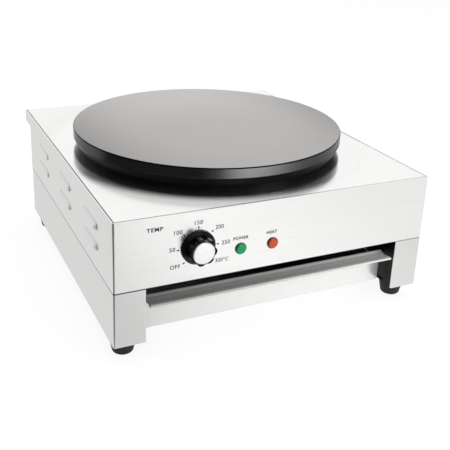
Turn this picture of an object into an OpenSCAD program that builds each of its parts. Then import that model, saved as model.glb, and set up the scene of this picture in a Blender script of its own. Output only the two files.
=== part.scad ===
// Countertop crepe maker: a round cast griddle on a folded steel housing,
// with a thermostat knob, two pilot lamps and a drawer under the housing.
// X is the width, Y runs from front to back, Z is up. The origin lies on the
// surface that the feet stand on, under the middle of the outline.

/* [Housing] */
// Width across the side sheets
housing_w = 450; // [430:5:520]
// Depth from the front sheet to the rear edge of the top
housing_d = 490; // [475:5:560]
// How far the top reaches past the rear panel
rear_overhang = 35; // [20:1:45]
// Height of the rim turned down round that overhang
overhang_drop = 19; // [12:1:30]
// Height of the base, from its lower edge to the seam
base_h = 74; // [68:1:100]
// Height of the upper housing, from the seam to the top sheet
upper_h = 91.5; // [88:0.5:120]
// Thickness of the folded sheet
sheet_t = 1.2; // [0.8:0.1:1.5]
// Outside radius of the folds
fold_r = 2.2; // [1.8:0.1:3]
// Open joint between neighbouring sheets
seam_gap = 0.5; // [0.3:0.1:0.8]
// Width of the flanges that hold the sheets together
flange_w = 14; // [12:1:18]
// Width of each front leg
leg_w = 41.5; // [38:0.5:50]
// Depth of the leg's inner return
leg_return = 20; // [14:1:24]

/* [Feet] */
// Height of a rubber foot
foot_h = 23; // [16:1:35]
// Diameter of a foot at the top
foot_top_d = 36; // [30:1:37]
// Diameter of a foot near the floor
foot_low_d = 28; // [24:1:30]
// Foot centre from the side of the housing
foot_in_x = 20; // [19:1:22]
// Foot centre from the front or the rear panel
foot_in_y = 28; // [24:1:34]

/* [Griddle] */
// Diameter of the griddle plate
plate_d = 400; // [360:5:410]
// Thickness of the griddle plate
plate_t = 15.5; // [12:0.5:22]
// Rounding of the plate's upper edge
plate_edge_r = 1.6; // [0.8:0.2:3]
// Height of the black ring that carries the plate
ring_h = 12.5; // [9:0.5:20]
// How far the ring's top stays inside the plate's edge
ring_step = 1.2; // [0.5:0.1:3]
// How far the ring tapers inwards towards the top sheet
ring_taper = 5.5; // [2:0.5:8]
// Wall of the ring
ring_wall = 3; // [2:0.5:4]
// Width of the ring's foot on the top sheet
ring_foot_w = 14; // [10:1:18]

/* [Heater] */
// Height and width of the heating element's tube
element_w = 8; // [6.5:0.5:9]
// Radius of the element's outer loop
element_r = 150; // [130:5:155]
// Distance between the element's loops
loop_pitch = 38; // [30:1:44]
// Number of loops
loop_count = 3; // [2:1:3]
// Thickness of the plate that presses the element up
clamp_t = 3; // [2:0.5:4]
// Thickness of the insulation
insulation_t = 16; // [10:1:18]
// Diameter of the centre stud
stud_d = 10; // [8:1:12]

/* [Controls] */
// Knob centre from the middle of the front, to the left
dial_x = 118; // [100:1:130]
// Knob centre above the seam
dial_up = 43.8; // [38:0.2:48]
// Diameter of the knob's skirt
knob_skirt_d = 44.5; // [42:0.5:52]
// Diameter over the knob's lobes
knob_grip_d = 36; // [34:0.5:38]
// Number of lobes
knob_lobes = 7; // [6:1:10]
// How far the knob stands out of the front
knob_out = 19.5; // [18:0.5:24]
// Diameter of the metal cap in the knob
knob_cap_d = 28.2; // [26:0.2:30]
// Diameter of the thermostat's spindle
spindle_d = 6; // [5:0.5:7]
// Left lamp from the middle of the front, to the left
lamp_x = 60; // [50:1:70]
// Distance between the two lamps
lamp_pitch = 45; // [30:1:60]
// Lamps above the seam
lamp_up = 32; // [25:1:40]
// Diameter of a lamp's lens
lamp_d = 15.5; // [14:0.5:18]

/* [Vents] */
// Length of a louvre
louvre_l = 66; // [40:1:76]
// Height of a louvre
louvre_h = 10; // [8:0.5:12]
// How far a louvre stands out
louvre_out = 3.2; // [2.5:0.1:4.5]
// Distance between columns of louvres
louvre_pitch = 132; // [100:1:140]
// Lower row above the seam
louvre_low = 28; // [22:1:32]
// Distance between the two rows
louvre_rise = 28; // [20:1:32]

/* [Drawer] */
// Setback of the drawer's front panel behind the legs
drawer_set = 27.5; // [24:0.5:34]
// Gap between the drawer's front and a leg
drawer_gap = 5.2; // [3:0.1:8]
// Height of the handle lip above the base's lower edge
lip_up = 49.5; // [44:0.5:52]
// Height of the fold where panel and lip meet
panel_up = 50.6; // [50:0.2:56]
// Lower edge of the drawer above the base's lower edge
drawer_low = 1; // [0.5:0.1:3]
// Depth of the tray
tray_d = 380; // [300:5:385]
// Height of the slide flanges on the tray
slide_up = 43; // [36:1:46]
// Width of those flanges
slide_w = 12; // [9:1:13]
// Play between tray and rail
slide_play = 0.6; // [0.4:0.1:1]

/* [Mains inlet] */
// Diameter of the cable that the gland takes
cable_d = 9; // [7:0.5:11]
// Gland from the right side of the housing
gland_in = 75; // [60:1:105]
// Gland above the seam
gland_up = 24; // [22:1:40]

/* [Hidden] */
$fn = 48;

steel = "gainsboro";
dark_steel = "dimgray";
black = "#1c1c1e";

seam_z = base_h;
top_z = base_h + upper_h;
side_d = housing_d - rear_overhang;
centre_y = (housing_d - knob_out) / 2;
half_w = housing_w / 2;
inner_w = housing_w - 2 * (sheet_t + seam_gap);
mid_r = fold_r - sheet_t / 2;
fold_steps = 5;
fit = 0.05;
deck_low = seam_z - sheet_t / 2;
deck_high = seam_z + sheet_t / 2;

plate_y = housing_d / 2;
ring_top_r = plate_d / 2 - ring_step;
ring_low_r = ring_top_r - ring_taper;
hole_r = ring_low_r - ring_foot_w + 2; // opening in the top sheet
plate_z = top_z + ring_h;
clamp_z = plate_z - element_w - clamp_t;
clamp_r = element_r + element_w / 2 + 6;
insulation_z = clamp_z - insulation_t;
pan_t = 1;
pan_z = insulation_z - pan_t;
bridge_t = 4;
bridge_z = pan_z - bridge_t;
bridge_w = 40;
bridge_reach = hole_r + 14;
bulb_r = 3;
bulb_l = 80;
bulb_x = -element_r + loop_pitch / 2 + bulb_r; // bulb lies between the two outer loops
bulb_lead = 12;
capillary_r = 1.2;
stud_low = bridge_z - 16;
stud_hold = 6; // how deep the stud sits in the plate
nut_h = 8;
nut_d = stud_d * 1.9;

rail_face = half_w - leg_w + sheet_t;
panel_half = half_w - leg_w - drawer_gap;
tray_half = rail_face - sheet_t - slide_play - 0.6 - slide_w;
tray_y = drawer_set + sheet_t;
tray_floor = drawer_low + 3.5;
rail_y = tray_y + 1;
lip_hem = 6;
hem_gap = 1.1; // air inside the hem

thermo_w = 38;
thermo_h = 34;
thermo_d = 30;
bracket_y = flange_w + 1;
bracket_t = 1.6;
bracket_hole_x = 16;
bracket_hole_in = 14; // screws of the foot, behind the bracket's face
bracket_toe = 9; // how far the foot goes on behind them
thermo_foot_y = bracket_y + bracket_hole_in;
collar_r = 5;
dial_z = seam_z + dial_up;
lamp_z = seam_z + lamp_up;
lamp_hole_r = lamp_d / 2 - 1.6;
gland_x = half_w - gland_in;
gland_z = seam_z + gland_up;
gland_thread_r = cable_d / 2 + 4;
gland_bore_r = cable_d / 2 + 0.3;
block_in = 62; // terminal block from the rear
block_y = side_d - block_in;
screw_r = 2;
foot_screw_r = 3;
foot_nut_h = 5;

foot_places = [
    [-half_w + foot_in_x, foot_in_y], [half_w - foot_in_x, foot_in_y],
    [-half_w + foot_in_x, side_d - foot_in_y], [half_w - foot_in_x, side_d - foot_in_y]
];

// ---- shared shapes ----

function unit(v) = v / norm(v);
function left_of(v) = [-v[1], v[0]];
function turned(v, a) = [v[0] * cos(a) - v[1] * sin(a), v[0] * sin(a) + v[1] * cos(a)];
function arc(centre, r, from, to, n) = [
    for (i = [0:n]) centre + r * [cos(from + (to - from) * i / n), sin(from + (to - from) * i / n)]
];

function flat(p) = [p[0], p[1]];

// Points along the middle of a folded sheet, each with the direction across the sheet.
// A corner folds with radius usual, or with its own when it has a third number.
function fold_marks(path, usual) = [
    for (i = [0:len(path) - 1])
        let (
            last = len(path) - 1,
            here = flat(path[i]),
            before = i == 0 ? unit(flat(path[1]) - here) : unit(here - flat(path[i - 1])),
            after = i == last ? before : unit(flat(path[i + 1]) - here),
            side = sign(before[0] * after[1] - before[1] * after[0]),
            bend = side == 0 ? 0 : acos(before * after),
            steps = side == 0 ? 0 : fold_steps,
            r = len(path[i]) > 2 ? path[i][2] : usual,
            centre = here - before * r * tan(bend / 2) + left_of(before) * side * r
        )
        for (s = [0:steps])
            let (across = turned(left_of(before), steps == 0 ? 0 : side * bend * s / steps))
            side == 0 ? [here, across] : [centre - across * side * r, across]
];

// Section of a sheet of thickness t folded along a path, with radius r at its middle
module folded(path, r = mid_r, t = sheet_t) {
    marks = fold_marks(path, r);
    last = len(marks) - 1;
    polygon(concat(
        [for (m = marks) m[0] + m[1] * t / 2],
        [for (i = [last:-1:0]) marks[i][0] - marks[i][1] * t / 2]
    ));
}

// From the housing's own corner, front face at y = 0 and lower edge at z = 0, to the origin
module placed() {
    translate([0, -centre_y, foot_h]) children();
}

// A section in Y and Z drawn out across the width
module across(width) {
    translate([-width / 2, 0, 0]) rotate([90, 0, 90]) linear_extrude(width) children();
}

// A section in X and Z drawn out towards the back
module along(length) {
    translate([0, length, 0]) rotate([90, 0, 0]) linear_extrude(length) children();
}

// A round that points out of the front, from y to y + length
module round_y(r, length) {
    rotate([-90, 0, 0]) cylinder(r = r, h = length);
}

module other_side() {
    mirror([1, 0, 0]) children();
}

// Pan head screw along -Z, head above the origin
module pan_screw(r, length) {
    cylinder(r = r * 1.9, h = r * 1.1);
    translate([0, 0, -length]) cylinder(r = r, h = length);
}

// ---- louvres ----

louvre_ball = (louvre_h * louvre_h + louvre_out * louvre_out) / (2 * louvre_out);
louvre_half = louvre_l / 2 - louvre_h;

// Long rounded body whose slice is a louvre
module louvre_body(r) {
    rotate([-90, 0, 0]) rotate_extrude() polygon(concat(
        arc([0, -louvre_half], r, -90, 0, 8),
        arc([0, louvre_half], r, 0, 90, 8)
    ));
}

// Part of the louvre body above its mouth; w runs out of the sheet towards -X
module louvre_slice(r, inward, outward) {
    intersection() {
        translate([louvre_ball - louvre_out, 0, 0]) louvre_body(r);
        translate([-outward, -louvre_l, 0]) cube([inward + outward, 2 * louvre_l, louvre_h + 2]);
    }
}

module louvre_places() {
    for (column = [-1:1], row = [0:1])
        translate([-half_w, side_d / 2 + column * louvre_pitch, seam_z + louvre_low + row * louvre_rise])
            children();
}

module louvre_windows() {
    louvre_places() louvre_slice(louvre_ball - sheet_t, sheet_t + 1, 0.01);
}

module louvre_hoods() {
    louvre_places() difference() {
        louvre_slice(louvre_ball, sheet_t / 2, louvre_out + 1);
        translate([louvre_ball - louvre_out, 0, 0]) louvre_body(louvre_ball - sheet_t);
    }
}

// ---- housing ----

module housing_wrap() {
    side = half_w - sheet_t / 2;
    color(steel) placed() {
        difference() {
            translate([0, 0, seam_z + seam_gap / 2])
                linear_extrude(upper_h - seam_gap / 2)
                    folded([[-side, housing_d], [-side, sheet_t / 2], [side, sheet_t / 2],
                        [side, housing_d]]);
            translate([-housing_w, side_d, 0])
                cube([2 * housing_w, housing_d, top_z - overhang_drop]);
            louvre_windows();
            other_side() louvre_windows();
            translate([-dial_x, -1, dial_z]) round_y(collar_r + 1, sheet_t + 2);
            for (x = [-lamp_x, -lamp_x + lamp_pitch])
                translate([x, -1, lamp_z]) round_y(lamp_hole_r, sheet_t + 2);
        }
        louvre_hoods();
        other_side() louvre_hoods();
        wrap_flanges();
        other_side() wrap_flanges();
        translate([-inner_w / 2, sheet_t / 2, deck_high])
            cube([inner_w, flange_w - sheet_t / 2, sheet_t]);
    }
}

// Flange along one side, seated on the deck, and the tab that holds the rear panel
module wrap_flanges() {
    difference() {
        union() {
            translate([-half_w + sheet_t / 2, flange_w / 2, deck_high])
                cube([flange_w - sheet_t / 2, side_d - flange_w / 2 - 2 * sheet_t, sheet_t]);
            translate([-half_w + sheet_t / 2, side_d - 2 * sheet_t, deck_high])
                cube([rear_tab_w, sheet_t, top_z - overhang_drop - deck_high - 1]);
        }
        deck_screw_holes();
        rear_screw_holes();
    }
}

deck_screw_ys = [side_d * 0.25, side_d * 0.5, side_d * 0.75];
deck_screw_x = half_w - sheet_t - (flange_w - sheet_t) * 0.55;

module deck_screw_holes() {
    for (side = [-1, 1], y = deck_screw_ys)
        translate([side * deck_screw_x, y, deck_low - 5]) cylinder(r = screw_r, h = 10);
}

module top_cover() {
    half = inner_w / 2;
    high = top_z - sheet_t / 2;
    low = top_z - flange_w;
    front = sheet_t + seam_gap;
    rear = housing_d - sheet_t / 2;
    color(steel) placed() difference() {
        union() {
            translate([0, front, 0]) along(side_d - front - 3 * sheet_t)
                folded([[-half + sheet_t / 2, low], [-half + sheet_t / 2, high],
                    [half - sheet_t / 2, high], [half - sheet_t / 2, low]]);
            across(inner_w - 2 * fold_r)
                folded([[front + sheet_t / 2, low], [front + sheet_t / 2, high],
                    [rear, high], [rear, top_z - overhang_drop]]);
            translate([-half, side_d - 4 * sheet_t, top_z - sheet_t])
                cube([inner_w, rear_overhang + 4 * sheet_t - fold_r, sheet_t]);
            translate([-half, rear - sheet_t / 2, top_z - overhang_drop])
                cube([inner_w, sheet_t, overhang_drop - fold_r]);
        }
        translate([0, plate_y, top_z - 2 * flange_w]) cylinder(r = hole_r, h = 3 * flange_w);
    }
}

rear_tab_w = flange_w * 1.6;
rear_screw_x = half_w - sheet_t - flange_w * 0.55;
rear_screw_zs = [22, base_h - 24, seam_z + 24, top_z - 30];

module rear_screw_places() {
    for (side = [-1, 1], z = rear_screw_zs)
        translate([side * rear_screw_x, side_d, z]) rotate([-90, 0, 0]) children();
}

module rear_screw_holes() {
    rear_screw_places() translate([0, 0, -5]) cylinder(r = screw_r, h = 10);
}

slot_l = 44;
slot_h = 4;
slot_pitch = 60;
slot_rise = 9;
slot_top = 36; // upper row below the top sheet

// Rear panel with a flange along its lower edge, between the rear feet
module rear_panel() {
    face = side_d - sheet_t / 2;
    color(steel) placed() difference() {
        union() {
            translate([-inner_w / 2, side_d - sheet_t, fold_r])
                cube([inner_w, sheet_t, top_z - sheet_t - fold_r - seam_gap]);
            across(2 * (half_w - leg_w - 2))
                folded([[face - flange_w, sheet_t / 2], [face, sheet_t / 2], [face, flange_w]]);
        }
        translate([gland_x, side_d - 2 * sheet_t, gland_z])
            round_y(gland_thread_r + fit, 3 * sheet_t);
        for (column = [-1.5:1.5], row = [0:3])
            translate([column * slot_pitch, side_d - 2 * sheet_t, top_z - slot_top - row * slot_rise])
                vent_slot();
        rear_screw_holes();
    }
}

// Slot with round ends through the rear panel
module vent_slot() {
    straight = slot_l - slot_h;
    translate([-straight / 2, 0, -slot_h / 2]) cube([straight, 3 * sheet_t, slot_h]);
    for (x = [-straight / 2, straight / 2])
        translate([x, 0, 0]) round_y(slot_h / 2, 3 * sheet_t);
}

module deck() {
    color(dark_steel) placed() difference() {
        translate([-inner_w / 2, sheet_t + seam_gap, deck_low])
            cube([inner_w, side_d - 2 * sheet_t - seam_gap, sheet_t]);
        deck_screw_holes();
        translate([-dial_x, thermo_foot_y, deck_low - 1]) bracket_holes();
        translate([block_screw_x, block_y, deck_low - 1]) cylinder(r = screw_r, h = 4);
    }
}

// Left base side: inner return, leg front, side and rear return in one sheet
module base_side_left() {
    color(steel) placed() base_side();
}

module base_side_right() {
    color(steel) placed() other_side() base_side();
}

module base_side() {
    outer = -half_w + sheet_t / 2;
    inner = -half_w + leg_w - sheet_t / 2;
    rear = side_d - 1.5 * sheet_t;
    plate_w = leg_w - fold_r - sheet_t;
    plate_l = foot_in_y + foot_top_d / 2 + 3;
    difference() {
        union() {
            linear_extrude(base_h - seam_gap / 2)
                folded([[inner, leg_return], [inner, sheet_t / 2], [outer, sheet_t / 2],
                    [outer, rear], [outer + rear_tab_w, rear]]);
            for (z = [0, deck_low - sheet_t])
                translate([outer, fold_r, z]) cube([flange_w, rear - 2 * fold_r, sheet_t]);
            for (y = [sheet_t / 2, rear - plate_l])
                translate([-half_w + fold_r, y, 0]) cube([plate_w, plate_l, sheet_t]);
        }
        translate([-half_w + sheet_t, sheet_t, deck_low]) cube([leg_w, side_d, base_h]);
        for (y = [foot_in_y, side_d - foot_in_y])
            translate([-half_w + foot_in_x, y, -1]) cylinder(r = foot_screw_r + fit, h = sheet_t + 2);
        deck_screw_holes();
        rear_screw_holes();
    }
}

guide_low = 6; // lower edge of the drawer space's side walls

// Side wall of the drawer space, hung from the deck
module guide_wall() {
    wall = rail_face + sheet_t / 2;
    translate([0, leg_return + seam_gap, 0]) along(side_d - leg_return - 3.5 * sheet_t)
        folded([[wall, guide_low], [wall, deck_low - sheet_t / 2],
            [wall + flange_w * 0.8, deck_low - sheet_t / 2]]);
}

module guide_wall_left() {
    color(dark_steel) placed() other_side() guide_wall();
}

module guide_wall_right() {
    color(dark_steel) placed() guide_wall();
}

// Channel that holds the tray's flange; it opens towards the middle
module drawer_rail() {
    web = rail_face - sheet_t / 2;
    shelf = slide_up - sheet_t - slide_play;
    lid = slide_up + sheet_t + slide_play;
    translate([0, rail_y, 0]) along(side_d - rail_y - 4 * sheet_t)
        folded([[web - slide_w, lid], [web, lid], [web, shelf], [web - slide_w, shelf]],
            sheet_t * 0.7);
}

module drawer_rail_left() {
    color("silver") placed() other_side() drawer_rail();
}

module drawer_rail_right() {
    color("silver") placed() drawer_rail();
}

// ---- feet and fasteners ----

// Rubber foot: tapered, rounded at the floor, with a recess for its screw
module foot(place) {
    top_r = foot_top_d / 2;
    low_r = foot_low_d / 2;
    color(black) placed() translate([place[0], place[1], 0]) rotate_extrude()
        polygon(concat(
            [[foot_screw_r, 0], [top_r, 0], [top_r - 0.4, -2]],
            arc([low_r - foot_round_r, -foot_h + foot_round_r], foot_round_r, 0, -90, 6),
            [[foot_recess_r, -foot_h], [foot_recess_r, foot_recess_z],
                [foot_screw_r, foot_recess_z]]
        ));
}

foot_round_r = min(foot_h * 0.2, foot_low_d * 0.17);
foot_recess_r = foot_low_d * 0.26;
foot_recess_z = -foot_h * 0.55;

module foot_front_left() { foot(foot_places[0]); }
module foot_front_right() { foot(foot_places[1]); }
module foot_rear_left() { foot(foot_places[2]); }
module foot_rear_right() { foot(foot_places[3]); }

// Screw up through each foot and its foot plate
module foot_screws() {
    color("silver") placed() for (place = foot_places)
        translate([place[0], place[1], foot_recess_z]) mirror([0, 0, 1])
            pan_screw(foot_screw_r, -foot_recess_z + sheet_t + foot_nut_h + 2);
}

// Nut on each foot screw, on the foot plate
module foot_nuts() {
    color("silver") placed() for (place = foot_places)
        translate([place[0], place[1], sheet_t]) difference() {
            cylinder(r = foot_screw_r * 1.9, h = foot_nut_h, $fn = 6);
            translate([0, 0, -1]) cylinder(r = foot_screw_r, h = foot_nut_h + 2);
        }
}

module rear_screws() {
    color("silver") placed() rear_screw_places() pan_screw(screw_r, 6);
}

module deck_screws() {
    color("silver") placed() for (side = [-1, 1], y = deck_screw_ys)
        translate([side * deck_screw_x, y, deck_low - sheet_t]) mirror([0, 0, 1])
            pan_screw(screw_r, 6);
}

// ---- griddle and heater ----

module griddle_plate() {
    r = plate_d / 2;
    e = plate_edge_r;
    color("#a9a9a7") placed() translate([0, plate_y, plate_z]) rotate_extrude()
        polygon(concat(
            [[0, stud_hold], [stud_d / 2, stud_hold], [stud_d / 2, 0], [r - 1, 0], [r, 1]],
            arc([r - e, plate_t - e], e, 0, 90, 6),
            [[0, plate_t]]
        ));
}

module support_ring() {
    inner = hole_r + 2;
    color(black) placed() translate([0, plate_y, top_z]) rotate_extrude()
        polygon([[inner, 0], [ring_low_r, 0], [ring_top_r, ring_h], [ring_top_r - ring_wall, ring_h],
            [ring_low_r - ring_wall, 2.5], [inner, 2.5]]);
}

inner_loop_r = element_r - (loop_count - 1) * loop_pitch;
element_gap = asin(loop_pitch * 0.34 / inner_loop_r); // half of the angle left open for the turns

element_ends = [270 - element_gap, 270 + element_gap];

turn_w = element_w + 0.6; // pressed bends are a little wider
turn_lap = 1.5;

module ring_plan(r, width) {
    difference() {
        circle(r = r + width / 2);
        circle(r = r - width / 2);
    }
}

// Loops open towards the front, each joined to the next one inwards by a half turn
module element_plan() {
    far = element_r * 2;
    difference() {
        for (i = [0:loop_count - 1])
            ring_plan(element_r - i * loop_pitch, element_w);
        polygon([[0, 0], far * [cos(element_ends[0]), sin(element_ends[0])],
            far * [cos(element_ends[1]), sin(element_ends[1])]]);
    }
    for (i = [0:loop_count - 2])
        rotate(element_ends[i % 2]) translate([element_r - (i + 0.5) * loop_pitch, 0])
            mirror([0, i % 2]) intersection() {
                ring_plan(loop_pitch / 2, turn_w);
                translate([-loop_pitch, -turn_lap]) square(2 * loop_pitch);
            }
}

module heating_element() {
    color("#6b5a50") placed() translate([0, plate_y, plate_z - element_w]) {
        linear_extrude(element_w) element_plan();
        translate([0, 0, element_w / 2]) at_element_legs() element_leg();
    }
}

// Straight end that goes down to a terminal
module element_leg() {
    drop = plate_z - bridge_z + 6;
    rotate([0, 0, 45]) {
        translate([0, 0, -drop]) cylinder(d = element_w - 1, h = drop);
        translate([0, 0, -drop - element_pin_l]) cylinder(d = element_pin_d, h = element_pin_l + 1);
    }
}

element_leg_r = element_w / 2 + 1.5;
element_pin_l = 9;
element_pin_d = 3.5;

// Places of the two ends of the element, seen from the plate's centre
module at_element_legs() {
    rotate(element_ends[1]) translate([element_r, 0, 0]) children();
    rotate(element_ends[(loop_count + 1) % 2]) translate([inner_loop_r, 0, 0]) children();
}

module disc_with_holes(r, h) {
    difference() {
        cylinder(r = r, h = h);
        translate([0, 0, -1]) cylinder(d = stud_d, h = h + 2);
        at_element_legs() translate([0, 0, -1]) cylinder(r = element_leg_r, h = h + 2);
        translate([bulb_x, -bulb_l / 2 - bulb_lead, -1]) cylinder(r = capillary_r + 1, h = h + 2);
    }
}

module clamp_plate() {
    color("darkgray") placed() translate([0, plate_y, clamp_z]) disc_with_holes(clamp_r, clamp_t);
}

module insulation_disc() {
    color("ivory") placed() translate([0, plate_y, insulation_z])
        disc_with_holes(clamp_r, insulation_t);
}

module heater_pan() {
    r = clamp_r + pan_t;
    color("silver") placed() translate([0, plate_y, pan_z]) {
        disc_with_holes(r, pan_t);
        rotate_extrude() polygon([[r - pan_t, 0], [r, 0], [r, insulation_t + clamp_t + pan_t],
            [r - pan_t, insulation_t + clamp_t + pan_t]]);
    }
}

// Bar under the opening that pulls plate, element and pan down onto the top sheet
module clamp_bridge() {
    high = top_z - sheet_t - bridge_t / 2;
    low = bridge_z + bridge_t / 2;
    leg = bridge_reach - 16;
    color("darkgray") placed() difference() {
        translate([0, plate_y - bridge_w / 2, 0]) along(bridge_w)
            folded([[-bridge_reach, high], [-leg, high], [-leg, low], [leg, low], [leg, high],
                [bridge_reach, high]], bridge_t, bridge_t);
        translate([0, plate_y, bridge_z - 1]) cylinder(d = stud_d, h = bridge_t + 2);
    }
}

module centre_stud() {
    color("silver") placed() translate([0, plate_y, stud_low])
        cylinder(d = stud_d, h = plate_z + stud_hold - stud_low);
}

// Nut on the stud, under the bridge
module stud_nut() {
    color("silver") placed() translate([0, plate_y, bridge_z - nut_h]) difference() {
        cylinder(d = nut_d, h = nut_h, $fn = 6);
        translate([0, 0, -1]) cylinder(d = stud_d, h = nut_h + 2);
    }
}

// ---- controls ----

module bracket_holes() {
    for (x = [-bracket_hole_x, bracket_hole_x])
        translate([x, 0, 0]) cylinder(r = screw_r, h = 4);
}

module thermostat_bracket() {
    width = thermo_w * 1.26;
    back = bracket_y + bracket_t / 2;
    color("silver") placed() difference() {
        translate([-dial_x, 0, 0]) across(width)
            folded([[back, dial_z + thermo_h / 2], [back, deck_high + bracket_t / 2],
                [thermo_foot_y + bracket_toe, deck_high + bracket_t / 2]], bracket_t * 1.5, bracket_t);
        translate([-dial_x, bracket_y - 1, dial_z]) round_y(collar_r + fit, bracket_t + 2);
        translate([-dial_x, thermo_foot_y, deck_high - 1]) bracket_holes();
    }
}

// Screws of the bracket and of the terminal block, down through the deck
module bracket_screws() {
    color("silver") placed() {
        for (x = [-bracket_hole_x, bracket_hole_x])
            translate([-dial_x + x, thermo_foot_y, deck_high + bracket_t]) pan_screw(screw_r, 5);
        translate([block_screw_x, block_y, deck_high + block_base_t]) pan_screw(screw_r, 6.5);
    }
}

// Thermostat with a collar through its bracket and terminals at the back
module thermostat_body() {
    front = bracket_y + bracket_t;
    color("#d9d2c0") placed() translate([-dial_x, front, dial_z]) difference() {
        union() {
            translate([-thermo_w / 2, 0, -thermo_h / 2 + 4]) cube([thermo_w, thermo_d, thermo_h - 4]);
            translate([0, -7, 0]) round_y(collar_r, 8);
            for (x = [-12, -4, 4, 12])
                translate([x - 0.4, thermo_d - 1, 0]) cube([0.8, 10, 6.3]);
        }
        translate([0, -8, 0]) round_y(spindle_d / 2 + fit, 20);
    }
}

module thermostat_spindle() {
    tip = knob_out - knob_seat;
    color("silver") placed() translate([-dial_x, -tip, dial_z]) rotate([90, 0, 0])
        mirror([0, 0, 1]) flatted_round(spindle_d / 2, tip + bracket_y + bracket_t + 10);
}

knob_gap = 1;
skirt_t = 5;
knob_seat = 6; // the spindle ends this far behind the knob's face

// Outline of the grip: a round with lobes
module grip_outline() {
    grip = knob_grip_d / 2;
    lobe_r = grip * 0.27;
    circle(r = grip - lobe_r * 0.55);
    for (i = [0:knob_lobes - 1])
        rotate(360 * i / knob_lobes) translate([grip - lobe_r, 0]) circle(r = lobe_r);
}

// Round with a flat, as long as the drop from the origin along -Z
module flatted_round(r, length) {
    difference() {
        cylinder(r = r, h = length);
        translate([-2 * r, spindle_d / 4, -1]) cube([4 * r, 2 * r, flat_l + 1]);
    }
}

flat_l = 12;

// Knob: a tapered skirt with a lobed grip, and a flatted blind hole for the spindle
module control_knob() {
    skirt = knob_skirt_d / 2;
    grip_h = knob_out - 1.6 - knob_gap;
    bevel = 1.2;
    color(black) placed() translate([-dial_x, -knob_gap, dial_z]) rotate([90, 0, 0]) difference() {
        union() {
            rotate_extrude() polygon([[0, 0], [skirt - 0.6, 0], [skirt, 0.6], [skirt, 1.4],
                [knob_grip_d / 2 + 0.5, skirt_t], [0, skirt_t]]);
            intersection() {
                translate([0, 0, 1]) linear_extrude(grip_h - 1) grip_outline();
                rotate_extrude() polygon([[0, 0], [knob_grip_d, 0], [knob_grip_d, skirt_t],
                    [knob_grip_d / 2 + 0.2, grip_h - bevel], [knob_grip_d / 2 - bevel, grip_h],
                    [0, grip_h]]);
            }
        }
        translate([0, 0, grip_h - 1]) cylinder(d = knob_cap_d, h = 2);
        translate([0, 0, knob_out - knob_gap - knob_seat]) mirror([0, 0, 1])
            flatted_round(spindle_d / 2, knob_out);
    }
}

module knob_cap() {
    r = knob_cap_d / 2;
    color("silver") placed() translate([-dial_x, -knob_out + 2.6, dial_z]) rotate([90, 0, 0])
        rotate_extrude() polygon([[0, 0], [r, 0], [r, 1.5], [r - 0.8, 2.3], [r * 0.6, 2.6], [0, 2.6]]);
}

module lamp_lens(x, tint) {
    r = lamp_d / 2;
    color(tint) placed() translate([x, 0, lamp_z]) rotate([90, 0, 0]) rotate_extrude()
        polygon(concat(
            [[0, -5], [lamp_hole_r - 1, -5], [lamp_hole_r - 1, 0], [r, 0], [r, 1]],
            [[r - 0.8, 1.9], [r * 0.6, 2.5], [0, 2.8]]
        ));
}

module lamp_body(x) {
    color(black) placed() translate([x, 0, lamp_z]) {
        difference() {
            translate([0, fit, 0]) round_y(lamp_hole_r, 24);
            translate([0, -1, 0]) round_y(lamp_hole_r - 1, 6);
        }
        translate([0, sheet_t, 0]) difference() {
            round_y(lamp_hole_r + 2, 1.5);
            translate([0, -1, 0]) round_y(lamp_hole_r - 0.5, 4);
        }
        for (side = [-1, 1])
            translate([side * 3 - 0.4, 23, -2.4]) cube([0.8, 9, 4.8]);
    }
}

module power_lamp_lens() { lamp_lens(-lamp_x, "#1e9a5e"); }
module heat_lamp_lens() { lamp_lens(-lamp_x + lamp_pitch, "#c05a40"); }
module power_lamp_body() { lamp_body(-lamp_x); }
module heat_lamp_body() { lamp_body(-lamp_x + lamp_pitch); }

// Round tube of radius r along a list of points
module tube_along(points, r) {
    for (i = [0:len(points) - 2]) {
        step = points[i + 1] - points[i];
        tilt = acos(step[2] / norm(step));
        translate(points[i]) rotate([0, tilt, atan2(step[1], step[0])])
            cylinder(r = r, h = norm(step));
        if (i > 0) translate(points[i]) sphere(r = r * 1.1);
    }
}

// Thermostat's sensing bulb against the griddle, with the thin tube that leads to it
module capillary_tube() {
    bulb_z = plate_z - bulb_r;
    bulb_y = plate_y - bulb_l / 2;
    exit_y = bulb_y - bulb_lead;
    start = [-dial_x + 8, bracket_y + bracket_t + thermo_d, dial_z - 8];
    color("#b5763b") placed() {
        tube_along([start, start + [0, 15, 0], [bulb_x, exit_y, bridge_z - 14],
            [bulb_x, exit_y, bulb_z], [bulb_x, bulb_y + 1, bulb_z]], capillary_r);
        translate([bulb_x, bulb_y, bulb_z]) round_y(bulb_r, bulb_l);
    }
}

// Overheat cut-out under the pan, clear of the bridge
module safety_cutout() {
    rim_r = 12;
    color("#e8e2d2") placed() translate([clamp_r * 0.44, plate_y + bridge_w / 2 + rim_r + 8, pan_z])
        mirror([0, 0, 1]) {
            cylinder(r = rim_r, h = 1);
            cylinder(r = 8, h = 9);
            for (x = [-5, 5])
                translate([x - 3.1, -0.4, 8]) cube([6.2, 0.8, 8]);
        }
}

// ---- mains inlet ----

pole_pitch = 14;
pole_w = pole_pitch * 0.8;
pole_d = pole_pitch * 1.4;
block_w = 3.2 * pole_pitch;
block_base_t = 4;
block_ear = pole_pitch * 1.15;
block_screw_x = gland_x - block_w / 2 - block_ear / 2;
wire_hole_r = 2.2;

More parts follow.
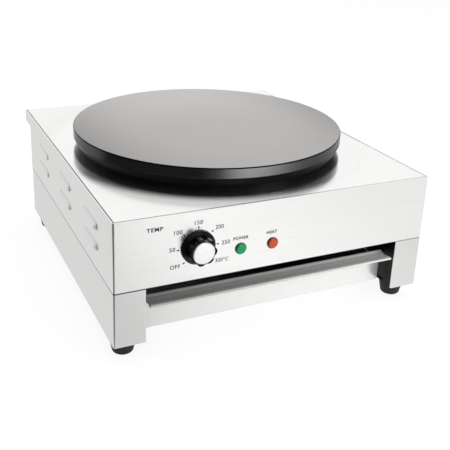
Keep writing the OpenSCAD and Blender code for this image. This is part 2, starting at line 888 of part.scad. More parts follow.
// Three-pole terminal block with an ear for its screw
module terminal_block() {
    color("#efe9dc") placed() translate([gland_x, block_y, deck_high]) difference() {
        union() {
            translate([-block_w / 2, -pole_d / 2, 0]) cube([block_w, pole_d, block_base_t]);
            for (i = [-1:1])
                translate([i * pole_pitch - pole_w / 2, -pole_d / 2, block_base_t / 2])
                    cube([pole_w, pole_d, pole_pitch]);
            translate([-block_w / 2 - block_ear, -pole_d * 0.3, 0])
                cube([block_ear + 1, pole_d * 0.6, block_base_t]);
        }
        for (i = [-1:1]) {
            translate([i * pole_pitch, 0, block_base_t * 2]) cylinder(r = wire_hole_r + 0.4, h = pole_pitch);
            translate([i * pole_pitch, -pole_d, block_base_t * 2.5]) round_y(wire_hole_r, 2 * pole_d);
        }
        translate([block_screw_x - gland_x, 0, -1]) cylinder(r = screw_r, h = block_base_t + 2);
    }
}

// Gland: hexagon against the panel, tapered nose outside, thread inside
module cable_gland() {
    color(black) placed() translate([gland_x, side_d, gland_z]) rotate([-90, 0, 0]) difference() {
        union() {
            cylinder(r = gland_thread_r + 4.5, h = 5, $fn = 6);
            translate([0, 0, 4.9]) cylinder(r1 = gland_thread_r + 2.5, r2 = gland_thread_r - 0.5, h = 15);
            translate([0, 0, -12]) cylinder(r = gland_thread_r, h = 13);
        }
        translate([0, 0, -13]) cylinder(r = gland_bore_r, h = 40);
    }
}

module gland_nut() {
    color(black) placed() translate([gland_x, side_d - sheet_t - 5, gland_z]) rotate([-90, 0, 0])
        difference() {
            cylinder(r = gland_thread_r + 4, h = 5, $fn = 6);
            translate([0, 0, -1]) cylinder(r = gland_thread_r, h = 7);
        }
}

module earth_screw() {
    color("goldenrod") placed() translate([block_screw_x - 30, block_y, deck_high]) {
        cylinder(r = 4.6, h = 1);
        cylinder(r = 2.5, h = 12);
        translate([0, 0, 2]) cylinder(r = 4.4, h = 4, $fn = 6);
    }
}

// ---- drawer ----

// Front panel, folded forwards at the top into the lip that serves as a handle
module drawer_front() {
    wall = drawer_set + sheet_t / 2;
    low = drawer_low + sheet_t / 2;
    lip = lip_up - sheet_t / 2;
    hem_r = sheet_t * 0.8;
    hem = lip - sheet_t - hem_gap;
    tip = sheet_t / 2 + 0.3;
    color(steel) placed() across(2 * panel_half)
        folded([[wall + 9, low], [wall, low], [wall, panel_up + sheet_t, 2.5],
            [drawer_set * 0.8, lip - 0.9, 5], [drawer_set * 0.46, lip - 1.6, 12],
            [tip, lip, hem_r], [tip, hem, hem_r], [tip + lip_hem, hem]]);
}

// Tray with flanges that run in the rails
module drawer_tray() {
    flange = tray_half + slide_w;
    wall = tray_half - sheet_t / 2;
    low = tray_floor + sheet_t / 2;
    high = slide_up;
    color(steel) placed() {
        translate([0, tray_y, 0]) along(tray_d)
            folded([[-flange, high], [-wall, high], [-wall, low], [wall, low], [wall, high],
                [flange, high]]);
        for (y = [tray_y, tray_y + tray_d - sheet_t])
            translate([-wall, y, low - sheet_t / 2]) cube([2 * wall, sheet_t, high - low]);
    }
}

// Rivets that join the tray to its front panel
module drawer_rivets() {
    color("silver") placed() for (x = [-0.7, 0, 0.7])
        translate([x * panel_half, tray_y + sheet_t, tray_floor + 14]) rotate([-90, 0, 0])
            cylinder(r1 = 3.2, r2 = 2, h = 1.2);
}

housing_wrap();
top_cover();
rear_panel();
deck();
base_side_left();
base_side_right();
guide_wall_left();
guide_wall_right();
drawer_rail_left();
drawer_rail_right();
foot_front_left();
foot_front_right();
foot_rear_left();
foot_rear_right();
foot_screws();
foot_nuts();
rear_screws();
deck_screws();
griddle_plate();
support_ring();
heating_element();
clamp_plate();
insulation_disc();
heater_pan();
clamp_bridge();
centre_stud();
stud_nut();
thermostat_body();
thermostat_bracket();
bracket_screws();
capillary_tube();
safety_cutout();
power_lamp_lens();
power_lamp_body();
heat_lamp_lens();
heat_lamp_body();
terminal_block();
cable_gland();
gland_nut();
earth_screw();
control_knob();
knob_cap();
thermostat_spindle();
drawer_front();
drawer_tray();
drawer_rivets();
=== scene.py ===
import math
import bpy
import bmesh
from mathutils import Matrix, Vector


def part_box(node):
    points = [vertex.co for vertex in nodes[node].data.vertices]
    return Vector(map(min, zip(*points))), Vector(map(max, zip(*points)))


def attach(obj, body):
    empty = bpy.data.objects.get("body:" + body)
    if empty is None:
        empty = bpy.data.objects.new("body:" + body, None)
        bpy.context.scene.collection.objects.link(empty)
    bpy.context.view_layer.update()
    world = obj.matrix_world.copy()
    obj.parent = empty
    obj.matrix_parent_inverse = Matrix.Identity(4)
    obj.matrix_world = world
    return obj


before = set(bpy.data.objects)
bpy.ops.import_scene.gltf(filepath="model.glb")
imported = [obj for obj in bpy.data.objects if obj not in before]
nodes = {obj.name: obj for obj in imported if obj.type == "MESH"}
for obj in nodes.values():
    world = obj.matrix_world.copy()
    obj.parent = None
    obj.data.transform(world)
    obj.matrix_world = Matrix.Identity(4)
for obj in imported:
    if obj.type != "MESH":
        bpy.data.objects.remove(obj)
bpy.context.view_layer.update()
scene = bpy.context.scene
mm = 0.001
print("frame loaded:", len(nodes), "nodes")

cameraView = {
    "place": (-453.5, -992.2, 551.0),  # mm, in front and to the left
    "azimuth": 25.84,
    "elevation": 19.55,
    "roll": -2.35,
    "lens": 60.64,
    "sensor": 36.0,
    "shift": -0.15,
    "clip": (0.05, 50.0),
}


def makeCamera():
    azimuth, elevation, roll = (math.radians(cameraView[name])
                                for name in ("azimuth", "elevation", "roll"))
    forward = Vector((math.sin(azimuth) * math.cos(elevation),
                      math.cos(azimuth) * math.cos(elevation), -math.sin(elevation)))
    right = forward.cross(Vector((0, 0, 1))).normalized()
    down = forward.cross(right)
    rightRolled = math.cos(roll) * right + math.sin(roll) * down
    downRolled = math.cos(roll) * down - math.sin(roll) * right
    turn = Matrix((rightRolled, -downRolled, -forward)).transposed().to_4x4()
    data = bpy.data.cameras.new("camera")
    data.lens = cameraView["lens"]
    data.sensor_width = cameraView["sensor"]
    data.shift_y = cameraView["shift"]
    data.clip_start, data.clip_end = cameraView["clip"]
    camera = bpy.data.objects.new("camera", data)
    scene.collection.objects.link(camera)
    camera.matrix_world = Matrix.Translation(Vector(cameraView["place"]) * mm) @ turn
    scene.camera = camera


makeCamera()
print("camera placed")


# Inputs take plain values, sockets, or nodes, whose first output in use is linked. A number is an input's
# place: Map Range takes its value, from and to in a row, and Mix has its colours at 6 and 7
def setInputs(tree, node, values):
    pairs = values.items() if isinstance(values, dict) else enumerate(values)
    for socket, value in pairs:
        if isinstance(value, bpy.types.Node):
            value = next(output for output in value.outputs if output.enabled)
        if isinstance(value, bpy.types.NodeSocket):
            tree.links.new(value, node.inputs[socket])
        else:
            node.inputs[socket].default_value = value


def addNode(tree, kind, values=(), **settings):
    node = tree.nodes.new(kind)
    for name, value in settings.items():
        setattr(node, name, value)
    setInputs(tree, node, values)
    return node


# An sRGB hex value as linear light, dimmed by a tone
def colour(hexValue, tone=1.0):
    parts = [int(hexValue[start:start + 2], 16) / 255 for start in (1, 3, 5)]
    linear = [part / 12.92 if part <= 0.04045 else ((part + 0.055) / 1.055) ** 2.4 for part in parts]
    return tuple(part * tone for part in linear) + (1.0,)


def grey(level):
    return (level, level, level, 1.0)


def newMaterial(name):
    material = bpy.data.materials.new(name)
    material.use_nodes = True
    tree = material.node_tree
    return material, tree, tree.nodes["Principled BSDF"]


def newObject(name, data):
    made = bpy.data.objects.new(name, data)
    scene.collection.objects.link(made)
    return made


# Place on the piece from a centre, in metres, with each axis stretched or left out
def objectVector(tree, scale=(1, 1, 1), centre=(0, 0, 0)):
    place = addNode(tree, "ShaderNodeTexCoord").outputs["Object"]
    moved = addNode(tree, "ShaderNodeVectorMath", (place, centre), operation="SUBTRACT")
    return addNode(tree, "ShaderNodeVectorMath", (moved, scale), operation="MULTIPLY")


def placeParts(tree):
    place = addNode(tree, "ShaderNodeTexCoord").outputs["Object"]
    return addNode(tree, "ShaderNodeSeparateXYZ", (place,)).outputs


def dress(material, *names):
    for name in names:
        data = nodes[name].data
        data.materials.clear()
        data.materials.append(material)


stainless = {
    "pale": "#FBFBFA",
    "dull": "#F6F6F4",
    "tintSpread": (0.3, 0.7),  # noise over which dull turns to pale
    "base": 0.96,  # how pale the base's sheets are against the other sheets
    # painted shade: the legs' fronts are dimmed against the base's sides
    "leg": 0.88,  # and the fronts of its legs against its sides
    "legEnd": (1.0, 3.0),  # mm behind the legs' fronts where that ends
    "grain": 0.9,  # mm between brush lines, which is as fine as shows
    "run": 150.0,  # mm that a brush line runs on for
    "depth": 0.01,  # mm
    "bump": 0.1,
    "roughness": (0.22, 0.25),
    "topRoughness": (0.13, 0.17),
    "blurSpread": (0.25, 0.75),
    "cloud": 167.0,  # mm between the clouds in its gloss
    "cloudBlur": 0.01,  # what they add to the roughness and take from it
    "topMetal": 0.25,  # away from the griddle: the rest is what the brushing scatters
    "topFrom": (24.0, 48.0),  # mm outside the griddle where that sets in
    "hoodMetal": 0.5,  # louvres, dulled by the press
    "hoodFrom": (0.2, 0.8),  # mm outside the sides
    # dark joint line, partly painted reflection in the folds, fading towards the right
    "edge": "#3A3A3A",
    "edgeWidth": (0.78, 1.3),  # mm of darker metal beside a joint: full, and faded out
    "edgeRight": 0.35,  # how much of the dark line is left at the right
    "seam": 0.8,  # how much of the edge's dark colour the seam's line takes
    "seamSide": 0.5,  # how much of its line is left on the sides
    "seamWidth": (0.7, 1.1),  # mm to each side: full, and faded out
    # painted shade, streaked, on the legs' inner faces in the recess
    "shade": ("#101010", "#2C2B29"),  # inner faces of the recess at the front
    "shadeSide": (1.3, 1.6),  # mm outside the legs' inner faces where it ends
    "shadeFrom": (1.5, 3.0),  # mm behind the legs' fronts where it sets in
    "shadeStreak": (1000.0, 4.5, 200.0),  # mm across, deep and high
    "shadeSpread": (0.35, 0.65),
    "shadeBlur": 0.2,  # how much rougher they are
}
streaky = {"Detail": 3.0, "Roughness": 0.6}  # noise of brush lines and turning marks


# Brush lines run across the sheet: stacked by height or, on a level sheet, by depth
def brushLines(tree, level, grain):
    along, across = 1 / (stainless["run"] * mm), 1 / (grain * mm)
    vector = objectVector(tree, (along, across, across) if level else (along, along, across))
    return addNode(tree, "ShaderNodeTexNoise", {"Vector": vector, "Scale": 1.0, **streaky})


# Stainless steel sheet, finely brushed along its length: pale, and it blurs what it mirrors
def brushedStainless(name, level=False, mask=None, metal=1.0, roughness=stainless["roughness"], tone=1.0):
    material, tree, shader = newMaterial(name)
    lines = brushLines(tree, level, stainless["grain"])
    clouds = addNode(tree, "ShaderNodeTexNoise", {"Vector": objectVector(tree),
                                                  "Scale": 1 / (stainless["cloud"] * mm)})
    share = addNode(tree, "ShaderNodeMapRange", (lines, *stainless["tintSpread"]))
    dull, pale = (colour(stainless[shade], tone) for shade in ("dull", "pale"))
    tint = addNode(tree, "ShaderNodeMix", {0: share, 6: dull, 7: pale}, data_type="RGBA")
    fine = addNode(tree, "ShaderNodeMapRange", (lines, *stainless["blurSpread"], *roughness))
    broad = addNode(tree, "ShaderNodeMapRange", {"Value": clouds, "To Min": -stainless["cloudBlur"],
                                                 "To Max": stainless["cloudBlur"]})
    blur = addNode(tree, "ShaderNodeMath", (fine, broad), operation="ADD")
    if mask:
        tint, blur = mask(tree, tint, blur)
    bump = addNode(tree, "ShaderNodeBump", {"Height": lines, "Distance": stainless["depth"] * mm,
                                            "Strength": stainless["bump"]})
    setInputs(tree, shader, {"Base Color": tint, "Metallic": metal(tree) if callable(metal) else metal,
                             "Roughness": blur, "Normal": bump})
    return material


# One value on the housing's and the legs' fronts, another behind them
def behindFront(tree, front, behind):
    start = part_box("base_side_left")[0].y
    stretch = (start + far * mm for far in stainless["legEnd"])
    return addNode(tree, "ShaderNodeMapRange", (placeParts(tree)["Y"], *stretch, front, behind))


# A joint's dark line over the sheet's own colour, weaker towards the right as painted light
def darkLine(tree, tint, line):
    low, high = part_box("top_cover")
    fade = addNode(tree, "ShaderNodeMapRange",
                   (placeParts(tree)["X"], low.x, high.x, 1.0, stainless["edgeRight"]))
    line = addNode(tree, "ShaderNodeMath", (line, fade), operation="MULTIPLY")
    edge = colour(stainless["edge"])
    return addNode(tree, "ShaderNodeMix", {0: line, 6: tint, 7: edge}, data_type="RGBA")


# Darker line where two sheets meet at the seam: a dark joint, weakened towards the right as painted shade
def seamMask(tree, tint, blur):
    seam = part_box("base_side_left")[1].z
    above = addNode(tree, "ShaderNodeMath", (placeParts(tree)["Z"], seam), operation="SUBTRACT")
    away = addNode(tree, "ShaderNodeMath", (above,), operation="ABSOLUTE")
    stretch = (width * mm for width in stainless["seamWidth"])
    line = addNode(tree, "ShaderNodeMapRange", (away, *stretch, stainless["seam"], 0.0))
    sides = behindFront(tree, 1.0, stainless["seamSide"])
    line = addNode(tree, "ShaderNodeMath", (line, sides), operation="MULTIPLY")
    return darkLine(tree, tint, line), blur


# Darker line along the top sheet's folded edges, where its joint with the wrap lies: partly a dark joint,
# partly painted reflection in the folds
def edgeMask(tree, tint, blur):
    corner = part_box("top_cover")[0]
    place = placeParts(tree)
    full, faded = (width * mm for width in stainless["edgeWidth"])
    side = addNode(tree, "ShaderNodeMapRange", (place["X"], corner.x + full, corner.x + faded, 1.0, 0.0))
    front = addNode(tree, "ShaderNodeMapRange", (place["Y"], corner.y + full, corner.y + faded, 1.0, 0.0))
    line = addNode(tree, "ShaderNodeMath", (side, front), operation="MAXIMUM")
    return darkLine(tree, tint, line), blur


# The top sheet mirrors the griddle's foot sharply, and further out it scatters more
def topMetal(tree):
    low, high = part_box("griddle_plate")
    flat = objectVector(tree, (1, 1, 0), (low + high) / 2)
    away = addNode(tree, "ShaderNodeVectorMath", (flat,), operation="LENGTH")
    stretch = ((high.x - low.x) / 2 + far * mm for far in stainless["topFrom"])
    return addNode(tree, "ShaderNodeMapRange", (away, *stretch, 1.0, stainless["topMetal"]),
                   interpolation_type="SMOOTHSTEP")


# The louvres stand out of the sides
def hoodMetal(tree):
    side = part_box("base_side_right")[1].x
    out = addNode(tree, "ShaderNodeMath", (placeParts(tree)["X"],), operation="ABSOLUTE")
    stretch = (side + far * mm for far in stainless["hoodFrom"])
    return addNode(tree, "ShaderNodeMapRange", (out, *stretch, 1.0, stainless["hoodMetal"]))


# Painted shade on the inner faces of the legs, where the recess that the drawer lies in shades them, and
# on the legs' fronts
def recessMask(tree, tint, blur):
    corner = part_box("base_side_right")[0]
    place = placeParts(tree)
    aside = addNode(tree, "ShaderNodeMath", (place["X"],), operation="ABSOLUTE")
    stretch = (corner.x + far * mm for far in stainless["shadeSide"])
    side = addNode(tree, "ShaderNodeMapRange", (aside, *stretch, 1.0, 0.0))
    stretch = (corner.y + far * mm for far in stainless["shadeFrom"])
    deep = addNode(tree, "ShaderNodeMapRange", (place["Y"], *stretch))
    inside = addNode(tree, "ShaderNodeMath", (side, deep), operation="MULTIPLY")
    scale = [1 / (size * mm) for size in stainless["shadeStreak"]]
    streaks = addNode(tree, "ShaderNodeTexNoise", {"Vector": objectVector(tree, scale), "Scale": 1.0})
    share = addNode(tree, "ShaderNodeMapRange", (streaks, *stainless["shadeSpread"]))
    darkest, dark = (colour(shade) for shade in stainless["shade"])
    dark = addNode(tree, "ShaderNodeMix", {0: share, 6: darkest, 7: dark}, data_type="RGBA")
    duller = addNode(tree, "ShaderNodeMapRange", {"Value": inside, "To Max": stainless["shadeBlur"]})
    blur = addNode(tree, "ShaderNodeMath", (blur, duller), operation="ADD")
    # painted shade on the legs' fronts
    tone = behindFront(tree, stainless["leg"], 1.0)
    tint = addNode(tree, "ShaderNodeVectorMath", {0: tint, "Scale": tone}, operation="SCALE")
    tint = addNode(tree, "ShaderNodeMix", {0: inside, 6: tint, 7: dark}, data_type="RGBA")
    return seamMask(tree, tint, blur)


drawerLook = {
    "metal": 0.55,  # the rest is what the brushing scatters, as it does most on the coarser lip
    # painted shade: the panel is dimmed towards the left
    "left": 0.9,  # how pale the panel's left is against its right
    "fade": (-160.0, 100.0),  # mm from the middle
    "lip": "#F6F5F3",
    "lipDark": "#DEDDDB",
    "lipSpread": (0.35, 0.65),
    "lipGrain": 0.5,  # mm between brush lines
    "lipDepth": (26.5, 27.0),  # mm from its front edge back to the panel
    "lipMetal": 0.0,
    # painted shade: the lip is dimmed towards the left
    "lipLeft": 0.5,  # how pale its left is against its right
    "lipFade": (-160.0, 140.0),
    "lipBlur": 0.27,  # how much rougher than the panel
}


# 1 on the lip in front of the drawer's panel
def lipPlace(tree):
    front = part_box("drawer_front")[0].y
    stretch = (front + far * mm for far in drawerLook["lipDepth"])
    return addNode(tree, "ShaderNodeMapRange", (placeParts(tree)["Y"], *stretch, 1.0, 0.0))


# A colour dimmed towards the left: painted shade
def paintShadeLeft(tree, tint, stretch, left):
    ends = (end * mm for end in stretch)
    shade = addNode(tree, "ShaderNodeMapRange", (placeParts(tree)["X"], *ends, left, 1.0))
    return addNode(tree, "ShaderNodeVectorMath", {0: tint, "Scale": shade}, operation="SCALE")


# The lip is brushed coarser than the panel, and both are dimmed towards the left as painted shade
def lipMask(tree, tint, blur):
    lip = lipPlace(tree)
    coarse = brushLines(tree, True, drawerLook["lipGrain"])
    share = addNode(tree, "ShaderNodeMapRange", (coarse, *drawerLook["lipSpread"]))
    dark, pale = (colour(drawerLook[shade]) for shade in ("lipDark", "lip"))
    paintedLight = addNode(tree, "ShaderNodeMix", {0: share, 6: dark, 7: pale}, data_type="RGBA")
    paintedLight = paintShadeLeft(tree, paintedLight, drawerLook["lipFade"], drawerLook["lipLeft"])
    panel = paintShadeLeft(tree, tint, drawerLook["fade"], drawerLook["left"])
    tint = addNode(tree, "ShaderNodeMix", {0: lip, 6: panel, 7: paintedLight}, data_type="RGBA")
    rougher = addNode(tree, "ShaderNodeMapRange", {"Value": lip, "To Max": drawerLook["lipBlur"]})
    return tint, addNode(tree, "ShaderNodeMath", (blur, rougher), operation="ADD")


def lipMetal(tree):
    return addNode(tree, "ShaderNodeMapRange", {"Value": lipPlace(tree), "To Min": drawerLook["metal"],
                                                "To Max": drawerLook["lipMetal"]})


griddle = {
    "face": "#BDBBB9",
    # painted light on the face: shade towards its rim and two sides, a highlight towards the back
    "faceRim": "#B4B2B1",
    "faceRimFrom": 0.55,  # share of the radius
    "faceAlong": (0.92, 0.122, 0.17),  # tone towards the back: level, slope and bend
    "faceAcross": (0.07, -0.23),  # and towards the right: slope and fourth power
    "faceMetal": 0.7,
    "faceRoughness": 0.42,
    "faceDepth": (-0.2, -0.1),  # mm from the top where it starts
    "side": "#4E4E4F",  # polished black oxide: how much it mirrors
    "sideRoughness": 0.18,
    "crown": 0.19,  # slope of the turned side, which leans back a little
    "rim": "#0A0A0A",
    "rimDepth": (-2.0, -1.7),  # mm from the top where the side ends and the rim is full
    # painted highlight: the pale line along the side's low edge
    "lowEdge": "#7C7C7C",
    "lowEdgeShare": 0.5,  # how much of that colour the painted highlight line takes
    "lowEdgeHeight": (1.0, 1.3),  # mm from the underside
    "ring": 1.4,  # mm between the turning marks that show
    "ringDepth": 0.002,  # mm
    "ringBlur": 0.02,  # what they add to the roughness and take from it
}


# Satin grey face with painted light: painted shade towards its rim and its two sides, and a painted
# highlight towards the back
def griddleFace(tree, place, away, radius):
    paintedLight = addNode(tree, "ShaderNodeMapRange", (away, radius * griddle["faceRimFrom"], radius, 1.0, 0.0),
                   interpolation_type="SMOOTHSTEP")
    outer, inner = (colour(griddle[shade]) for shade in ("faceRim", "face"))
    face = addNode(tree, "ShaderNodeMix", {0: paintedLight, 6: outer, 7: inner}, data_type="RGBA")
    across, along = (addNode(tree, "ShaderNodeMath", (place[axis], radius), operation="DIVIDE")
                     for axis in "XY")
    level, slope, bend = griddle["faceAlong"]
    steep = addNode(tree, "ShaderNodeMath", (along, bend, slope), operation="MULTIPLY_ADD")
    tone = addNode(tree, "ShaderNodeMath", (along, steep, level), operation="MULTIPLY_ADD")
    slope, fourth = griddle["faceAcross"]
    tone = addNode(tree, "ShaderNodeMath", (across, slope, tone), operation="MULTIPLY_ADD")
    aside = addNode(tree, "ShaderNodeMath", (across,), operation="ABSOLUTE")
    aside = addNode(tree, "ShaderNodeMath", (aside, 4.0), operation="POWER")
    tone = addNode(tree, "ShaderNodeMath", (aside, fourth, tone), operation="MULTIPLY_ADD")
    return addNode(tree, "ShaderNodeVectorMath", {0: face, "Scale": tone}, operation="SCALE")


# Blackened side, with a narrow pale line at its low edge that is a painted highlight, and a black rim
# under the face
def griddleSide(tree, height, thick):
    stretch = (far * mm - thick for far in griddle["lowEdgeHeight"])
    paintedLight = addNode(tree, "ShaderNodeMapRange", (height, *stretch, griddle["lowEdgeShare"], 0.0))
    oxide, paintedHighlight = (colour(griddle[shade]) for shade in ("side", "lowEdge"))
    side = addNode(tree, "ShaderNodeMix", {0: paintedLight, 6: oxide, 7: paintedHighlight}, data_type="RGBA")
    rim = addNode(tree, "ShaderNodeMapRange", (height, *(far * mm for far in griddle["rimDepth"])))
    return addNode(tree, "ShaderNodeMix", {0: rim, 6: side, 7: colour(griddle["rim"])}, data_type="RGBA")


# Cast iron, turned flat and seasoned: a satin grey face over a blackened, polished side
def seasonedIron():
    low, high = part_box("griddle_plate")
    centre = (*((low + high) / 2).xy, high.z)
    material, tree, shader = newMaterial("seasonedCastIron")
    place = addNode(tree, "ShaderNodeSeparateXYZ", (objectVector(tree, centre=centre),)).outputs
    flat = addNode(tree, "ShaderNodeCombineXYZ", (place["X"], place["Y"]))
    away = addNode(tree, "ShaderNodeVectorMath", (flat,), operation="LENGTH")
    turned = addNode(tree, "ShaderNodeCombineXYZ", (away,))
    marks = addNode(tree, "ShaderNodeTexNoise", {"Vector": turned, "Scale": 1 / (griddle["ring"] * mm),
                                                 **streaky})
    top = addNode(tree, "ShaderNodeMapRange", (place["Z"], *(far * mm for far in griddle["faceDepth"])))
    face = griddleFace(tree, place, away, (high.x - low.x) / 2)
    side = griddleSide(tree, place["Z"], high.z - low.z)
    tint = addNode(tree, "ShaderNodeMix", {0: top, 6: side, 7: face}, data_type="RGBA")
    metal = addNode(tree, "ShaderNodeMapRange", {"Value": top, "To Min": 1.0,
                                                 "To Max": griddle["faceMetal"]})
    blur = addNode(tree, "ShaderNodeMapRange", {"Value": top, "To Min": griddle["sideRoughness"],
                                                "To Max": griddle["faceRoughness"]})
    fine = addNode(tree, "ShaderNodeMapRange", {"Value": marks, "To Min": -griddle["ringBlur"],
                                                "To Max": griddle["ringBlur"]})
    blur = addNode(tree, "ShaderNodeMath", (blur, fine), operation="ADD")
    groove = addNode(tree, "ShaderNodeMath", (marks, griddle["ringDepth"] * mm), operation="MULTIPLY")
    height = addNode(tree, "ShaderNodeMath", (place["Z"], -griddle["crown"], groove),
                     operation="MULTIPLY_ADD")
    bump = addNode(tree, "ShaderNodeBump", {"Height": height, "Distance": 1.0})
    setInputs(tree, shader, {"Base Color": tint, "Metallic": metal, "Roughness": blur, "Normal": bump})
    return material


evenLook = {
    "tone": 0.86,  # of the darker grains
    "blur": 0.04,
    "spread": (0.25, 0.75),
    "bump": 0.5,
    "detail": 3.0,
}


# One colour with a faint grain, whose size and depth are in mm
def evenFinish(name, hexValue, roughness, metallic=0.0, grain=2.5, depth=0.03, specular=0.5):
    material, tree, shader = newMaterial(name)
    grains = addNode(tree, "ShaderNodeTexNoise", {"Vector": objectVector(tree), "Scale": 1 / (grain * mm),
                                                  "Detail": evenLook["detail"]})
    dark, pale = (colour(hexValue, tone) for tone in (evenLook["tone"], 1.0))
    tint = addNode(tree, "ShaderNodeMix", {0: grains, 6: dark, 7: pale}, data_type="RGBA")
    blur = addNode(tree, "ShaderNodeMapRange", (grains, *evenLook["spread"], roughness - evenLook["blur"],
                                                roughness + evenLook["blur"]))
    bump = addNode(tree, "ShaderNodeBump", {"Height": grains, "Distance": depth * mm,
                                            "Strength": evenLook["bump"]})
    setInputs(tree, shader, {"Base Color": tint, "Metallic": metallic, "Roughness": blur, "Normal": bump,
                             "Specular IOR Level": specular})
    return material


dress(brushedStainless("brushedStainlessFront", mask=seamMask, metal=hoodMetal),
      "housing_wrap", "rear_panel")
dress(brushedStainless("brushedStainlessBase", mask=recessMask, tone=stainless["base"]),
      "base_side_left", "base_side_right")
dress(brushedStainless("brushedStainlessTop", level=True, mask=edgeMask, metal=topMetal,
                       roughness=stainless["topRoughness"]), "top_cover")
dress(brushedStainless("brushedStainlessDrawer", mask=lipMask, metal=lipMetal), "drawer_front")
dress(brushedStainless("brushedStainlessTray"), "drawer_tray")
dress(seasonedIron(), "griddle_plate")
# Pressed steel ring, vitreous enamelled: gloss black
dress(evenFinish("vitreousEnamel", "#09090A", 0.2, depth=0.01, specular=0.05), "support_ring")
# Galvanised steel sheet, dull grey with a faint spangle
dress(evenFinish("galvanisedSteel", "#8E9092", 0.42, metallic=1.0, grain=16.7),
      "deck", "drawer_rail_left", "drawer_rail_right", "clamp_plate", "heater_pan", "clamp_bridge",
      "thermostat_bracket")
# Galvanised steel sheet, painted dark as the shade inside the recess beside the drawer
dress(evenFinish("shadedGalvanisedSteel", "#3A3737", 0.5, metallic=1.0, grain=16.7),
      "guide_wall_left", "guide_wall_right")
# Bright zinc-plated steel of turned and pressed fasteners
dress(evenFinish("zincPlate", "#B9BBBD", 0.3, metallic=1.0),
      "foot_screws", "foot_nuts", "rear_screws", "deck_screws", "bracket_screws", "centre_stud",
      "stud_nut", "drawer_rivets", "thermostat_spindle")
# Drawn nickel alloy sheath, heat-tinted brown by use
dress(evenFinish("heatTintedSheath", "#6A5A50", 0.5, metallic=1.0), "heating_element")
# Pressed mineral wool board, off-white and fibrous
dress(evenFinish("mineralWool", "#D8D2C2", 0.95, grain=3.3, depth=0.4), "insulation_disc")
# Moulded rubber, matt black with a faint mould grain
dress(evenFinish("mouldedRubber", "#0E0E0E", 0.7, grain=1.1),
      "foot_front_left", "foot_front_right", "foot_rear_left", "foot_rear_right")
# Phenolic resin, compression moulded: hard gloss black
dress(evenFinish("glossPhenolic", "#070708", 0.16, depth=0.01, specular=0.2), "control_knob")
# Aluminium disc, bead blasted and anodised silver white
dress(evenFinish("satinAluminium", "#FFFFFF", 0.3, metallic=0.85, grain=1.1, depth=0.01), "knob_cap")
# Glass-filled nylon, injection moulded, matt black
dress(evenFinish("mouldedNylon", "#1B1B1C", 0.5),
      "power_lamp_body", "heat_lamp_body", "cable_gland", "gland_nut")
# Steatite ceramic, fired and unglazed, off-white
dress(evenFinish("firedSteatite", "#E2DDCF", 0.55), "thermostat_body", "safety_cutout", "terminal_block")
# Drawn copper tube, bright
dress(evenFinish("drawnCopper", "#B77B52", 0.3, metallic=1.0), "capillary_tube")
# Turned brass, bright
dress(evenFinish("turnedBrass", "#C9A55A", 0.3, metallic=1.0), "earth_screw")

lampLens = {
    "green": "#0E9C5C",
    "red": "#C8512F",
    "roughness": 0.15,
    "specular": 0.3,
    # painted shade: the lens darkens towards its rim, off-centre so that one side is darker
    "palest": (1.0, -0.8),  # mm right of and above the middle
    "rim": (5.6, 7.8),  # mm from there where it turns deep
    "rimTone": 0.25,
}


# Polycarbonate lens, injection moulded and tinted through: glossy, deeper in tone towards its rim as
# painted shade, off-centre so that one side is darker
def tintedLens(name, hexValue, node):
    material, tree, shader = newMaterial(name)
    low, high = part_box(node)
    across, up = lampLens["palest"]
    flat = objectVector(tree, (1, 0, 1), (low + high) / 2 + Vector((across, 0, up)) * mm)
    away = addNode(tree, "ShaderNodeVectorMath", (flat,), operation="LENGTH")
    rim = addNode(tree, "ShaderNodeMapRange", (away, *(far * mm for far in lampLens["rim"])))
    pale, deep = (colour(hexValue, tone) for tone in (1.0, lampLens["rimTone"]))
    tint = addNode(tree, "ShaderNodeMix", {0: rim, 6: pale, 7: deep}, data_type="RGBA")
    setInputs(tree, shader, {"Base Color": tint, "Roughness": lampLens["roughness"],
                             "Specular IOR Level": lampLens["specular"]})
    return material


dress(tintedLens("greenPolycarbonate", lampLens["green"], "power_lamp_lens"), "power_lamp_lens")
dress(tintedLens("redPolycarbonate", lampLens["red"], "heat_lamp_lens"), "heat_lamp_lens")
print("materials made:", len(bpy.data.materials))

printing = {
    "tickRadius": 26.2,  # mm, as all lengths here
    "tickLength": 3.0,
    "tickWidth": 1.7,
    "tickFrom": 225.0,  # degrees, anticlockwise from the right
    "tickStep": -45.0,
    "tickCount": 7,
    "spacing": 1.12,  # between letters
    "capital": 0.72,  # height of the font's capitals as a share of its size
    "thick": 0.05,
    "merge": 0.0001,  # points of the letters closer than this become one
    "ink": "#101010",
    # text, its centre across and up from the dial's, height and width, thickening of a stroke
    "words": [
        ("OFF", -29.7, -21.6, 5.4, 13.2, 0.12), ("50", -33.6, 1.8, 5.6, 7.6, 0.12),
        ("100", -26.2, 23.6, 5.6, 11.0, 0.12), ("150", 0.0, 32.7, 5.6, 10.6, 0.12),
        ("200", 27.8, 22.8, 5.6, 11.0, 0.12), ("250", 37.0, 0.6, 5.6, 11.0, 0.12),
        ("300°C", 32.4, -22.4, 5.6, 17.6, 0.12), ("TEMP", -55.8, 31.8, 5.4, 20.6, 0.21),
        ("POWER", 57.7, 2.7, 4.4, 21.0, 0.2), ("HEAT", 101.1, 3.8, 4.4, 15.0, 0.2),
    ],
}


# Centre of the dial on the housing's front, raised by half of the ink's thickness
def dialPlace():
    low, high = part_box("knob_cap")
    centre = (low + high) / 2
    centre.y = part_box("housing_wrap")[0].y - printing["thick"] / 2 * mm
    return centre


# Screen-printed epoxy ink: flat, soft black
inkMaterial = evenFinish("screenInk", printing["ink"], 0.6)


